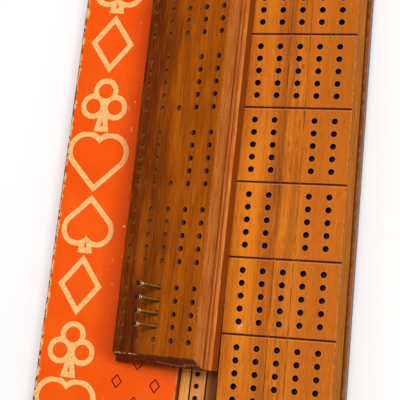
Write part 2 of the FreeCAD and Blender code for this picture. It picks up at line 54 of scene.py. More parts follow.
class Socket:
    """A value inside a finish. Arithmetic on sockets and numbers adds the Math nodes it needs."""

    def __init__(self, finish, output):
        self.finish = finish
        self.output = output

    def maths(self, operation, *values):
        """Adds a Math node on the values, in the order of its sockets."""
        return self.finish.node(
            "ShaderNodeMath", {"operation": operation}, dict(enumerate(values)))

    def __add__(self, other):
        return self.maths("ADD", self, other)

    def __sub__(self, other):
        return self.maths("SUBTRACT", self, other)

    def __rsub__(self, other):
        return self.maths("SUBTRACT", other, self)

    def __mul__(self, other):
        return self.maths("MULTIPLY", self, other)

    def __truediv__(self, other):
        return self.maths("DIVIDE", self, other)

    def __pow__(self, other):
        return self.maths("POWER", self, other)

    def __lt__(self, other):
        return self.maths("LESS_THAN", self, other)

    def __gt__(self, other):
        return self.maths("GREATER_THAN", self, other)

    def __abs__(self):
        return self.maths("ABSOLUTE", self)

    __radd__ = __add__
    __rmul__ = __mul__

    def least(self, other):
        return self.maths("MINIMUM", self, other)

    def most(self, other):
        return self.maths("MAXIMUM", self, other)

    def wrapped(self, low, high):
        return self.maths("WRAP", self, high, low)

    def rounded(self):
        return self.maths("ROUND", self)

    def rise(self, low, high):
        """0 below low and 1 above high, with a smooth step between them."""
        return self.finish.node(
            "ShaderNodeMapRange", {"interpolation_type": "SMOOTHSTEP"},
            {"Value": self, "From Min": low, "From Max": high})


MM = 0.001


class Finish:
    """A material in the making, round one Principled shader."""

    def __init__(self, name, **constants):
        self.material = bpy.data.materials.new(name)
        self.material.use_nodes = True
        self.tree = self.material.node_tree
        self.shader = self.tree.nodes["Principled BSDF"]
        for socket, value in constants.items():
            self.shader.inputs[socket.replace("_", " ")].default_value = value

    def node(self, kind, settings, inputs, output=0):
        """Adds a node: first its settings, then the values or links of its sockets."""
        made = self.tree.nodes.new(kind)
        for name, value in settings.items():
            if name == "stops":
                ramp = made.color_ramp.elements
                while len(ramp) < len(value):
                    ramp.new(1.0)
                for element, (position, colour) in zip(ramp, value):
                    element.position = position
                    element.color = colour
            else:
                setattr(made, name, value)
        for name, value in inputs.items():
            if isinstance(value, Socket):
                self.tree.links.new(value.output, made.inputs[name])
            else:
                made.inputs[name].default_value = value
        return Socket(self, made.outputs[output])

    def point(self, place=Matrix.Identity(4)):
        """Object coordinates in millimetres, measured in a piece's own place."""
        coordinates = self.node("ShaderNodeTexCoord", {}, {}, "Object")
        return self.node("ShaderNodeMapping", {"vector_type": "TEXTURE"}, {
            "Vector": coordinates, "Location": place.translation,
            "Rotation": place.to_euler(), "Scale": (MM, MM, MM)})

    def split(self, vector):
        """The three parts of a vector, each a socket."""
        parts = self.node("ShaderNodeSeparateXYZ", {}, {0: vector}).output.node.outputs
        return [Socket(self, output) for output in parts]

    def join(self, x, y, z):
        return self.node("ShaderNodeCombineXYZ", {}, {0: x, 1: y, 2: z})

    def noise(self, vector, stretch, detail=2.0, roughness=0.5, seed=0.0):
        """Noise with features of about 1/stretch millimetres along each axis."""
        stretched = self.node("ShaderNodeVectorMath", {"operation": "MULTIPLY_ADD"}, {
            0: vector, 1: stretch, 2: (seed, 1.7 * seed, 2.3 * seed)})
        return self.node("ShaderNodeTexNoise", {}, {
            "Vector": stretched, "Scale": 1.0, "Detail": detail, "Roughness": roughness})

    def ramp(self, value, *stops):
        return self.node("ShaderNodeValToRGB", {"stops": stops}, {"Fac": value})

    def mix(self, factor, under, over):
        """Lays one colour over another, as thickly as the factor says. The Mix node's sockets
        6 and 7 are the two colours, and its output 2 is the mixed one."""
        return self.node("ShaderNodeMix", {"data_type": "RGBA"}, {
            0: factor, 6: under, 7: over}, 2)

    def bump(self, height, distance):
        """Raises the surface by height times distance, in millimetres."""
        return self.node("ShaderNodeBump", {}, {
            "Height": height, "Distance": distance * MM, "Strength": 1.0}, "Normal")

    def surface(self, **values):
        """Links what changes over the surface to the shader's sockets."""
        for socket, value in values.items():
            self.tree.links.new(value.output, self.shader.inputs[socket.replace("_", " ")])

    def cover(self, *names):
        """Puts the finish on CAD nodes."""
        for name in names:
            mesh = frame["nodes"][name].data
            mesh.materials.clear()
            mesh.materials.append(self.material)


def srgb(red, green, blue):
    """A colour as a paint card gives it, 0 to 255, turned linear."""
    def linear(level):
        share = level / 255
        return share / 12.92 if share <= 0.04045 else ((share + 0.055) / 1.055) ** 2.4
    return (linear(red), linear(green), linear(blue), 1.0)


def wood_figure(finish, point, sway=5.0, seed=0.0, along=1.0):
    """The figure of a board sawn along Y: its broad bands, its streaks and its pores, each
    from 0 to 1. A larger along breaks the figure up sooner."""
    x, y, z = finish.split(point)
    bend = finish.noise(point, (0.018, 0.006, 0.018), 1.0, seed=seed + 3)
    swayed = finish.join(x + (bend - 0.5) * sway, y, z)
    bands = finish.noise(swayed, (0.13, 0.009 * along, 0.13), 2.0, 0.55, seed + 7)
    streaks = finish.noise(swayed, (0.6, 0.035 * along, 0.6), 3.0, 0.6, seed + 11)
    fibres = finish.noise(swayed, (2.6, 0.12, 2.6), 2.0, 0.6, seed + 13)
    pores = finish.noise(swayed, (2.3, 0.11, 2.3), 1.0, 0.5, seed + 17).rise(0.62, 0.74)
    return bands, streaks * 0.7 + fibres * 0.3, pores


def heart_grain(finish, point):
    """The dark grain of the heartwood, from 0 to 1, which winds more than the rest."""
    x, y, z = finish.split(point)
    bend = finish.noise(point, (0.02, 0.02, 0.02), 1.0, 0.5, 61)
    wound = finish.join(x + bend * 15, y, z)
    return finish.noise(wound, (0.3, 0.011, 0.3), 2.0, 0.5, 59).rise(0.5, 0.62)


def hole_grid(x, y, column_pitch, row_pitch, section):
    """Distance to the nearest hole, with five rows of five in each section along a board."""
    in_section = (y - section / 2).wrapped(-section / 2, section / 2)
    row = (in_section / row_pitch).rounded().most(-2).least(2)
    column = (x / column_pitch).rounded().most(-2).least(2)
    dx = x - column * column_pitch
    dy = in_section - row * row_pitch
    return (dx * dx + dy * dy) ** 0.5


BOX_COLUMN = 12.7
BOX_ROW = 7.9375
BOX_SECTION = 47.625
BOX_HOLE = 2.0
GLUE_LINES = (-6.3, 6.1)
top_low, top_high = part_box("box_top")
BOX_HALF_WIDTH = top_high.x / MM
BOX_HALF_LENGTH = top_high.y / MM
BOX_HEIGHT = top_high.z / MM
TOP_THICKNESS = (top_high.z - top_low.z) / MM
GROOVE_TOP = 13.0


def stave_colours(finish, colour, point, stave, shifted, bands, flecks):
    """Tints the three staves of the pegging board, each of which is a different piece of wood."""
    x, y, z = finish.split(point)
    left = (1 - stave).most(0)
    centre = 1 - abs(stave - 1)
    right = (stave - 1).most(0)
    far = y.rise(15, 50)
    golden = (1 - abs(x + 24).rise(2, 9)) * y.rise(-130, -90) * (1 - far * 0.7)
    colour = finish.mix(golden * left * 0.85, colour, srgb(226, 128, 25))
    brown = x.rise(-15, -9) * left
    colour = finish.mix(brown * bands.rise(0.35, 0.6) * 0.7, colour, srgb(160, 80, 24))
    colour = finish.mix(flecks * (centre * 0.5 + 0.2), colour, srgb(112, 52, 12))
    dashes = finish.noise(shifted, (0.9, 0.06, 0.9), 3.0, 0.7, 31).rise(0.52, 0.7)
    colour = finish.mix(dashes * (centre * 0.2 + 0.34), colour, srgb(150, 64, 14))
    colour = finish.mix(right * 0.65, colour, srgb(195, 101, 21))
    sapwood = (1 - abs(x - 4).rise(3, 8)) * (1 - y.rise(-10, 15))
    colour = finish.mix(sapwood * 0.32, colour, srgb(226, 132, 38))
    heartwood = (1 - abs(x + 4.5).rise(1, 6) + x.rise(15, 22) * 0.7) * far
    colour = finish.mix(heartwood * 0.3, colour, srgb(146, 70, 16))
    return colour


def top_wear(finish, colour, point, streaks, flecks):
    """Adds what shows on the pegging board after years of play: its open glue lines, a stain,
    pale rims round the holes, a scuff and rubbed edges, whose pale line is partly a painted
    highlight. It also paints shade along the kerfs and down the walls of the holes and kerfs."""
    x, y, z = finish.split(point)
    wear = finish.noise(point, (0.3, 0.35, 0.3), 3.0, 0.65, 41)
    seam = abs(x - GLUE_LINES[0]).least(abs(x - GLUE_LINES[1]) + 0.05)
    ragged = finish.noise(point, (0.5, 0.06, 0.5), 3.0, 0.6, 37)
    colour = finish.mix(
        (1 - seam.rise(0.1, 0.55)) * ragged.rise(0.36, 0.6) * 0.85, colour, srgb(84, 38, 8))
    stain = 1 - ((x + 8) * (x + 8) * 0.04 + (y - 6) * (y - 6) * 0.0012).rise(0.2, 1.2)
    colour = finish.mix(stain * streaks.rise(0.4, 0.6) * 0.6, colour, srgb(104, 54, 18))
    near_heart = 1 - abs(x + 3).rise(5, 13)
    colour = finish.mix(
        heart_grain(finish, point) * near_heart * 0.42, colour, srgb(136, 66, 16))
    centre_bare = (abs(x) < BOX_COLUMN / 2) * (abs(y) < BOX_SECTION)
    to_hole = hole_grid(x, y, BOX_COLUMN, BOX_ROW, BOX_SECTION)
    on_top = z > BOX_HEIGHT - 0.2
    rim = (1 - to_hole.rise(BOX_HOLE + 0.1, BOX_HOLE + 0.55)) * on_top * (1 - centre_bare)
    colour = finish.mix(rim * 0.42, colour, srgb(190, 146, 108))
    to_kerf = y.wrapped(-BOX_SECTION / 2, BOX_SECTION / 2)
    kerf_rows = (abs(y) < BOX_SECTION * 2.5) * on_top
    lip = (to_kerf < -0.8) * (to_kerf > -1.4) * kerf_rows
    colour = finish.mix(lip * 0.5 * wear, colour, srgb(233, 165, 98))
    # Painted shade along the kerfs, except where they cross the glue lines.
    painted_kerf_shade = (1 - abs(to_kerf).rise(0.55, 0.9)) * kerf_rows * seam.rise(0.3, 0.6)
    colour = finish.mix(painted_kerf_shade * 0.7, colour, srgb(74, 28, 6))
    # Painted shade down the walls of the holes and the kerfs, lighter by the glue lines.
    inside = (z < BOX_HEIGHT - 0.35) * (abs(x) < BOX_HALF_WIDTH - 0.05)
    inside = inside * (abs(y) < BOX_HALF_LENGTH - 0.05) * (seam.rise(0.3, 0.7) * 0.7 + 0.3)
    colour = finish.mix(inside * 0.97, colour, srgb(76, 22, 3))
    scuff = 1 - ((x + 24.4) * (x + 24.4) * 0.2 + (y + 91) * (y + 91) * 0.14).rise(0.2, 2)
    colour = finish.mix(
        scuff * flecks.most(wear.rise(0.42, 0.5)) * on_top * 0.6, colour, srgb(238, 166, 104))
    # The arris is painted pale: partly rubbed wear, partly a painted highlight along the edge.
    arris = abs(x).rise(BOX_HALF_WIDTH - 0.9, BOX_HALF_WIDTH - 0.3)
    arris = arris * z.rise(BOX_HEIGHT - 1.1, BOX_HEIGHT - 0.5)
    colour = finish.mix(arris * wear.rise(0.36, 0.66) * 0.6, colour, srgb(224, 146, 72))
    return colour


def box_wood(name, kerfed):
    """Oiled hardwood in millimetres of the box; kerfed is its pegging board."""
    finish = Finish(name, Specular_IOR_Level=0.04 if kerfed else 0.01)
    point = finish.point()
    x, y, z = finish.split(point)
    shifted = point
    if kerfed:
        stave = (x > GLUE_LINES[0]) + (x > GLUE_LINES[1])
        shifted = finish.join(x + stave * 61, y + stave * 133, z)
    bands, streaks, pores = wood_figure(finish, shifted)
    colour = finish.ramp(
        bands * 0.45 + streaks * 0.55, (0.34, srgb(166, 80, 14)), (0.5, srgb(199, 105, 22)),
        (0.66, srgb(220, 126, 30)))
    if kerfed:
        flecks = finish.noise(shifted, (1.3, 0.13, 1.3), 3.0, 0.65, 29).rise(0.55, 0.68)
        colour = stave_colours(finish, colour, point, stave, shifted, bands, flecks)
    else:
        flecks = finish.noise(shifted, (0.42, 0.03, 0.42), 2.0, 0.6, 29).rise(0.58, 0.72)
        colour = finish.mix(flecks * 0.45, colour, srgb(128, 62, 20))
    colour = finish.mix(pores * 0.3, colour, srgb(112, 54, 16))

    side = (abs(x) > BOX_HALF_WIDTH - 0.1).most(z < BOX_HEIGHT - TOP_THICKNESS - 0.05)
    side_colour = finish.ramp(
        streaks, (0.36, srgb(158, 86, 30)), (0.5, srgb(190, 114, 42)), (0.64, srgb(214, 140, 60)))
    colour = finish.mix(side * 0.75, colour, side_colour)
    end = abs(y).rise(BOX_HALF_LENGTH - 0.4, BOX_HALF_LENGTH - 0.1)
    end_grain = finish.noise(point, (1.6, 1.6, 1.6), 3.0, 0.7, 5)
    end_colour = finish.ramp(end_grain, (0.3, srgb(92, 44, 16)), (0.7, srgb(150, 84, 36)))
    colour = finish.mix(end * 0.75, colour, end_colour)
    # The walls are painted dark in a band just above the groove, as the groove's shade.
    foot = 1 - z.rise(GROOVE_TOP + 2.5, GROOVE_TOP + 6.5)
    colour = finish.mix(foot * 0.9, colour, srgb(70, 24, 2))
    roughness = streaks * 0.16 + pores * 0.2 + side * 0.4 + 0.42

    if kerfed:
        colour = top_wear(finish, colour, point, streaks, flecks)
    nicks = finish.noise(point, (0.5, 0.3, 0.5), 2.0, 0.6, 53).rise(0.69, 0.73)
    colour = finish.mix(nicks * 0.35, colour, srgb(228, 160, 98))
    finish.surface(
        Base_Color=colour, Roughness=roughness,
        Normal=finish.bump(streaks * 0.6 - pores * 0.8, 0.12))
    return finish


box_wood("box_top_wood", True).cover("box_top")

# ---------------------------------------------------------------- box walls and drawer front
# The long sides, the far end and the drawer's front are the same oiled wood, sawn thinner.
# A shadow groove runs round all four at the foot, cut before the box was glued up.

box_wood("box_wall_wood", False).cover(
    "box_side_left", "box_side_right", "box_end", "drawer_front")

# ---------------------------------------------------------------- base board
# The base stands out as a lip all round. It is stained darker than the walls, and its upper edge
# is rounded over. Its outer side is painted darker towards the floor, nearly black at the bottom,
# as shade.

BASE_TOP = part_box("box_base")[1].z / MM
base = Finish("plinth_wood", Specular_IOR_Level=0.1)
point = base.point()
x, y, z = base.split(point)
bands, streaks, pores = wood_figure(base, point, seed=71)
colour = base.ramp(
    bands * 0.4 + streaks * 0.6, (0.3, srgb(118, 58, 20)), (0.7, srgb(172, 98, 42)))
colour = base.mix(pores * 0.5, colour, srgb(70, 32, 12))
# Painted shade: the outer side darkens towards the floor.
painted_base_shade = (1 - z.rise(BASE_TOP - 6, BASE_TOP - 1.5)) * 0.8
colour = base.mix(painted_base_shade, colour, srgb(42, 24, 18))
dusty = (1 - z.rise(BASE_TOP - 2, BASE_TOP - 0.4)) * (0.26 + bands * 0.3)
colour = base.mix(dusty, colour, srgb(150, 132, 120))
lip_wear = base.noise(point, (0.4, 0.3, 0.4), 2.0).rise(0.45, 0.6)
lip_wear = lip_wear * z.rise(BASE_TOP - 1, BASE_TOP - 0.2)
colour = base.mix(lip_wear * 0.3, colour, srgb(205, 140, 85))
base.surface(
    Base_Color=colour, Roughness=0.4 + pores * 0.2,
    Normal=base.bump(streaks * 0.6 - pores * 0.8, 0.12))
base.cover("box_base")

# ---------------------------------------------------------------- felt
# A sheet of dark green wool felt is glued under the base, a little inside its edges, so that
# the box doesn't scratch the table.

felt = Finish("green_felt", Roughness=0.95, Specular_IOR_Level=0.1, Sheen_Weight=0.3)
point = felt.point()
fuzz = felt.noise(point, (2.4, 2.4, 2.4), 5.0, 0.7)
clumps = felt.noise(point, (0.25, 0.25, 0.25), 3.0, 0.6, 9)
felt.surface(
    Base_Color=felt.ramp(
        fuzz * 0.6 + clumps * 0.4, (0.3, srgb(22, 48, 34)), (0.7, srgb(52, 92, 66))),
    Normal=felt.bump(fuzz, 0.4))
felt.cover("base_felt")

# ---------------------------------------------------------------- drawer box and runners
# The drawer's sides, back, bottom and dividers, and the two runners it slides on, are plain
# pale wood, sanded but not oiled, with a faint grain and grey marks where cards have rubbed.

pale = Finish("plain_wood", Specular_IOR_Level=0.3)
point = pale.point()
bands, streaks, pores = wood_figure(pale, point, seed=91)
colour = pale.ramp(
    bands * 0.35 + streaks * 0.65, (0.28, srgb(172, 132, 86)), (0.5, srgb(205, 168, 118)),
    (0.75, srgb(222, 190, 142)))
colour = pale.mix(pores * 0.45, colour, srgb(140, 98, 58))
rubbed = pale.noise(point, (0.05, 0.03, 0.09), 3.0, 0.6, 15).rise(0.52, 0.7)
colour = pale.mix(rubbed * 0.25, colour, srgb(150, 128, 104))
pale.surface(
    Base_Color=colour, Roughness=0.55 + streaks * 0.2,
    Normal=pale.bump(streaks * 0.6 - pores, 0.1))
pale.cover(
    "drawer_side_left", "drawer_side_right", "drawer_back", "drawer_bottom",
    "drawer_divider_1", "drawer_divider_2", "runner_left", "runner_right")

# ---------------------------------------------------------------- drawer knob and its screw
# The knob is turned from solid brass: a foot disc, a short neck and a ball with a fine line
# cut round it. A slotted brass screw through the drawer front holds it from inside.


def lathe(name, outline, place, steps=48):
    """A turned piece: an outline of (radius, height) in millimetres spun about its axis."""
    mesh = bmesh.new()
    corners = [mesh.verts.new((radius * MM, 0, height * MM)) for radius, height in outline]
    edges = [mesh.edges.new(pair) for pair in zip(corners, corners[1:])]
    bmesh.ops.spin(
        mesh, geom=corners + edges, cent=(0, 0, 0), axis=(0, 0, 1), angle=math.tau,
        steps=steps, use_merge=True)
    bmesh.ops.remove_doubles(mesh, verts=mesh.verts, dist=1e-6)
    bmesh.ops.recalc_face_normals(mesh, faces=mesh.faces)
    for face in mesh.faces:
        face.smooth = True
    bmesh.ops.transform(mesh, matrix=place, verts=mesh.verts)
    return piece_of(mesh, name)


def piece_of(mesh, name):
    """Turns a finished bmesh into an object of the scene, at the origin."""
    data = bpy.data.meshes.new(name)
    mesh.to_mesh(data)
    mesh.free()
    piece = bpy.data.objects.new(name, data)
    bpy.context.scene.collection.objects.link(piece)
    return piece


def arc(centre, radius, first, last, steps):
    """Points of (radius, height) round a circle whose centre is (radius, height)."""
    turns = [math.radians(first + (last - first) * step / steps) for step in range(steps + 1)]
    return [(centre[0] + radius * math.cos(turn), centre[1] + radius * math.sin(turn))
            for turn in turns]


def brass_finish(name, bright, dull, place, dark_from=None):
    """Turned brass, brushed round its axis and tarnished in patches. A peg has gone almost black
    above dark_from, in millimetres, and its shank has a painted highlight along one stripe, with
    painted shade on both sides of it."""
    finish = Finish(name, Specular_IOR_Level=0.1)
    point = finish.point(place)
    x, y, z = finish.split(point)
    turning = finish.noise(finish.join(0, 0, z), (1, 1, 9.0), 2.0, 0.7, 3)
    tarnish = finish.noise(point, (0.5, 0.5, 0.5), 4.0, 0.65, 19)
    colour = finish.mix(tarnish.rise(0.35, 0.65), bright, dull)
    if dark_from is None:
        finish.surface(Metallic=1 - tarnish.rise(0.6, 0.8) * 0.3)
    else:
        # Painted shade on the shank to both sides of a stripe that is left bright as a painted
        # highlight.
        painted_shank_shade = abs(y - 0.3).rise(0.3, 1.3)
        colour = finish.mix(painted_shank_shade * 0.85, colour, srgb(72, 36, 6))
        head = z.rise(dark_from - 0.15, dark_from + 0.15)
        colour = finish.mix(head, colour, srgb(58, 28, 6))
        rings = (z > dark_from - 3.4) * (z < dark_from - 0.1)
        colour = finish.mix(rings * 0.6, colour, srgb(226, 190, 124))
        finish.surface(Metallic=0.52 + rings * 0.4 - head * 0.4)
    finish.surface(
        Base_Color=colour, Roughness=0.14 + tarnish * 0.25,
        Normal=finish.bump(turning, 0.03))
    return finish


knob_low, knob_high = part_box("drawer_knob")
knob_place = Matrix.Translation(
    (0, knob_high.y, (knob_low.z + knob_high.z) / 2)) @ Matrix.Rotation(math.pi / 2, 4, "X")
BALL = (knob_high.z - knob_low.z) / 2 / MM
BALL_CENTRE = (knob_high.y - knob_low.y) / MM - BALL
NECK = 2.8
SCREW_HOLE = 1.6
SCREW_DEPTH = 7.0
FOOT_DISC = 5.0
neck_angle = math.degrees(math.asin(-math.sqrt(BALL ** 2 - NECK ** 2) / BALL))
knob = lathe("drawer_knob_turned", [
    (0, SCREW_DEPTH), (SCREW_HOLE, SCREW_DEPTH), (SCREW_HOLE, 0.02), (FOOT_DISC - 0.2, 0.02),
    (FOOT_DISC, 0.2), (FOOT_DISC, 0.95), (FOOT_DISC - 0.25, 1.2), (NECK + 0.2, 2.0),
    (NECK, 2.3), (NECK, 3.2),
    *arc((0, BALL_CENTRE), BALL, neck_angle + 2, -2.5, 14),
    (BALL - 0.16, BALL_CENTRE),
    *arc((0, BALL_CENTRE), BALL, 2.5, 88, 16),
    (0, BALL_CENTRE + BALL)], knob_place)
knob_brass = brass_finish("knob_brass", srgb(214, 176, 104), srgb(150, 112, 56), knob_place)
knob.data.materials.append(knob_brass.material)
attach(knob, "drawer")
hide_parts("drawer_knob")
knob_brass.cover("drawer_knob_screw")

# ---------------------------------------------------------------- leaning board
# A solid board of polished red-brown hardwood with a moulded ledge: a small bead and a large
# one, cut with a scratch stock along both long sides. Wax and dust have settled in its holes.


def spread(name, axis):
    """Where a node begins and ends along an axis, in metres."""
    reach = [axis.dot(vertex.co) for vertex in frame["nodes"][name].data.vertices]
    return min(reach), max(reach)


def stance(name, along, up):
    """The place of a node: its middle across and along, at its foot."""
    across = along.cross(up)
    origin = sum((axis * sum(spread(name, axis)) / 2 for axis in (across, along)), Vector())
    origin += up * spread(name, up)[0]
    place = Matrix((across, along, up)).transposed().to_4x4()
    place.translation = origin
    return place


joint_axis = {joint["name"]: Vector(joint["axis"]) for joint in frame["joints"]}
board_up = joint_axis["peg_1_pull"].normalized()
board_along = Vector((board_up.y, -board_up.x, 0)).normalized()
board_place = stance("leaning_board", board_along, board_up)

BOARD_COLUMN = 13.06
BOARD_ROW = 8.16
BOARD_SECTION = 48.96
BOARD_HOLE = 1.85
BOARD_HEIGHT = 18.5
BOARD_TOP_HALF = 31.1
BOARD_BASE_HALF = 37.1
BOARD_TOP_REACH = 148.85
BEVEL_DEPTH = 11.5
BEVEL_SLOPE = 0.4957
LEDGE = 7.0
BEAD_GROOVES = (31.4, 33.95)
INNER_BEAD = 32.7
HOLE_FLOOR = 8.0

# u runs across the board, v along it and w up from its foot, in millimetres.
board = Finish("board_wood", Specular_IOR_Level=0.03, Coat_Roughness=0.2)
point = board.point(board_place)
u, v, w = board.split(point)
bands, streaks, pores = wood_figure(board, point, sway=7.0, seed=131, along=1.5)
tone = bands * 0.5 + streaks * 0.5
# The top is darker towards its left side and towards the near end.
light = board.ramp(
    tone, (0.32, srgb(128, 56, 2)), (0.5, srgb(160, 76, 3)), (0.66, srgb(182, 94, 6)))
dark = board.ramp(
    tone, (0.32, srgb(72, 26, 3)), (0.5, srgb(102, 38, 3)), (0.66, srgb(134, 56, 5)))
paler = (u + (bands - 0.5) * 26 - (1 - v.rise(-150, -70)) * 7).rise(-25, 5)
colour = board.mix(paler, dark, light)
red_streak = board.noise(point, (0.5, 0.008, 0.5), 2.0, 0.6, 149).rise(0.56, 0.7)
colour = board.mix(red_streak * 0.4, colour, srgb(98, 34, 3))
dashes = board.noise(point, (0.9, 0.05, 0.9), 3.0, 0.7, 151)
colour = board.mix(dashes.rise(0.52, 0.68) * 0.35, colour, srgb(92, 34, 3))
colour = board.mix((1 - dashes.rise(0.34, 0.46)) * 0.25, colour, srgb(196, 108, 16))

# The moulding along the sides is paler than the top, and the sawn ends are darker.
moulding = board.ramp(
    streaks * 0.5 + dashes * 0.5,
    (0.36, srgb(170, 86, 30)), (0.5, srgb(203, 115, 46)), (0.64, srgb(228, 148, 78)))
flank = (abs(u) > BOARD_TOP_HALF - 0.25) * (w < BOARD_HEIGHT - 0.55)
colour = board.mix(flank, colour, moulding)
on_ledge = w < LEDGE + 0.05
bead_hollow = abs(abs(u) - BEAD_GROOVES[0]).least(abs(abs(u) - BEAD_GROOVES[1])) < 0.35
bead_hollow = bead_hollow * on_ledge * (w > LEDGE - 1.5)
colour = board.mix(bead_hollow * 0.6, colour, srgb(126, 52, 12))
inner_bead = (abs(abs(u) - INNER_BEAD) < 1.1) * on_ledge
colour = board.mix(inner_bead * 0.4, colour, srgb(150, 64, 0))
foot = (w < LEDGE - 0.95) * (abs(u) > BOARD_BASE_HALF - 0.2)
colour = board.mix(foot * 0.9, colour, srgb(140, 60, 5))
sunk = BOARD_HEIGHT - w
end = (abs(v) - sunk.least(BEVEL_DEPTH) * BEVEL_SLOPE).rise(
    BOARD_TOP_REACH - 0.9, BOARD_TOP_REACH - 0.3)
# The tip of the left ledge by the near end takes the end's dark colour too, as painted shade.
end = end.most(abs(v) > BOARD_TOP_REACH + 5.2).most((u < -30) * (v < -140))
end_grain = board.noise(point, (0.35, 1.1, 0.9), 4.0, 0.7, 157)
end_colour = board.ramp(
    end_grain, (0.36, srgb(52, 16, 5)), (0.52, srgb(84, 31, 8)), (0.66, srgb(134, 66, 24)))
colour = board.mix(end * 0.95, colour, end_colour)
colour = board.mix(pores * 0.35, colour, srgb(70, 26, 6))

# The holes on the left are filled with wax and dust, painted paler with depth as light that
# offsets the shade inside them. The rest are open, and painted darker with depth as shade.
to_hole = hole_grid(u, v, BOARD_COLUMN, BOARD_ROW, BOARD_SECTION)
in_hole = (w < BOARD_HEIGHT - 0.25) * (abs(u) < BOARD_TOP_HALF - 1)
in_hole = in_hole * (w > HOLE_FLOOR) * (abs(v) < BOARD_TOP_REACH - 3)
patches = board.noise(point, (0.05, 0.05, 0.0), 2.0, 0.6, 163)
filled = 1 - (u + (patches - 0.5) * 60 - (1 - v.rise(-150, -100)) * 10).rise(-4, 9)
open_hole_painted_shade = board.mix(sunk.rise(1.6, 4.2), srgb(124, 74, 44), srgb(30, 8, 0))
waxed_hole_and_painted_light = board.mix(sunk.rise(1.5, 3.6), srgb(138, 74, 26), srgb(204, 128, 62))
colour = board.mix(in_hole, colour, board.mix(filled, open_hole_painted_shade, waxed_hole_and_painted_light))
bare_middle = (abs(u) < BOARD_COLUMN / 2) * (abs(v) < BOARD_SECTION)
rim = (1 - to_hole.rise(BOARD_HOLE + 0.05, BOARD_HOLE + 0.4)) * (w > BOARD_HEIGHT - 0.1)
colour = board.mix(rim * (1 - bare_middle) * 0.25, colour, srgb(176, 118, 72))

# Knocks have chipped the edges, the ends have cracked, and hands have left it greasy.
chipping = board.noise(point, (0.55, 0.55, 0.55), 3.0, 0.7, 167)
arris = abs(u).rise(BOARD_TOP_HALF - 0.9, BOARD_TOP_HALF - 0.2)
arris = arris * w.rise(BOARD_HEIGHT - 0.9, BOARD_HEIGHT - 0.3) * (1 - end)
colour = board.mix(arris * chipping.rise(0.5, 0.66) * 0.6, colour, srgb(216, 134, 64))
lip = 1 - abs(abs(v) - BOARD_TOP_REACH).rise(0.15, 0.7)
lip = lip * (w > BOARD_HEIGHT - 0.9) * (0.08 + 0.92 * (abs(u + 21) < 9))
colour = board.mix(lip * chipping.rise(0.46, 0.56) * 0.9, colour, srgb(222, 170, 128))
crack = abs(w - 9.5 - (chipping - 0.5) * 6 - abs(u - 14) * 0.2)
crack = (1 - crack.rise(0.2, 0.7)) * end * (u > 0)
colour = board.mix(crack * 0.7, colour, srgb(190, 126, 80))
smudge = board.noise(point, (0.03, 0.02, 0.03), 3.0, 0.6, 173)
board.surface(
    Base_Color=colour, Roughness=0.24 + smudge * 0.22 + pores * 0.2 + in_hole * 0.4,
    Coat_Weight=0.03 * (1 - in_hole),
    Normal=board.bump(streaks * 0.5 - pores, 0.08))
board.cover("leaning_board")

# ---------------------------------------------------------------- brass pegs
# Four scoring pegs turned from brass rod: a plain shank, two raised rings and a domed head.
# The heads have blackened with handling, and each shank has a painted highlight along one stripe,
# with painted shade beside it.

PEG_TIP = 1.2
PEG_SHANK = 1.5
PEG_STRAIGHT = 9.5
PEG_NECK = 1.2
PEG_RING = 1.55
PEG_RING_FEET = (25.4, 27.5)
PEG_HEAD = 1.4
PEG_LENGTH = 31.5
HEAD_FOOT = 28.6
for number in range(1, 5):
    name = f"peg_{number}"
    place = stance(name, board_along, board_up)
    outline = [(0, 0), (PEG_TIP, 0), (PEG_SHANK, 0.3), (PEG_SHANK, PEG_STRAIGHT),
               (PEG_NECK, PEG_RING_FEET[0] - 0.1)]
    for ring_foot in PEG_RING_FEET:
        outline += [(PEG_NECK, ring_foot), (1.42, ring_foot + 0.08), (PEG_RING, ring_foot + 0.25),
                    (PEG_RING, ring_foot + 0.65), (1.42, ring_foot + 0.82),
                    (PEG_NECK, ring_foot + 0.9)]
    outline += [(PEG_NECK, HEAD_FOOT), (1.3, HEAD_FOOT + 0.05), (PEG_HEAD, HEAD_FOOT + 0.2),
                *arc((0, PEG_LENGTH - PEG_HEAD), PEG_HEAD, 0, 85, 8), (0, PEG_LENGTH)]
    peg = lathe(f"{name}_turned", outline, place, 32)
    peg.data.materials.append(brass_finish(
        f"{name}_brass", srgb(198, 156, 82), srgb(150, 108, 46), place, HEAD_FOOT).material)
    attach(peg, name)
    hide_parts(name)

# ---------------------------------------------------------------- scoring strip and its lines
# A narrow board of lighter wood with one column of holes. Two dark lines are let in flush along
# it. The wood between them is a shade pinker, and the side beyond them is painted darker, deepest
# by the box, as shade.

strip_along = -joint_axis["strip_slide"].normalized()
strip_place = stance("strip_board", strip_along, Vector((0, 0, 1)))
STRIP_HEIGHT = 20.5
strip_first, strip_last = spread("strip_board", strip_along)
STRIP_REACH = (strip_last - strip_first) / 2 / MM
INLAY = 5.2
strip = Finish("strip_wood", Specular_IOR_Level=0.1)
point = strip.point(strip_place)
u, v, w = strip.split(point)
bands, streaks, pores = wood_figure(strip, point, seed=191)
colour = strip.ramp(
    bands * 0.4 + streaks * 0.6, (0.3, srgb(206, 121, 48)), (0.5, srgb(240, 161, 70)),
    (0.75, srgb(252, 188, 98)))
colour = strip.mix((abs(u) < INLAY) * 0.45, colour, srgb(214, 132, 76))
colour = strip.mix(pores * 0.45, colour, srgb(128, 70, 30))
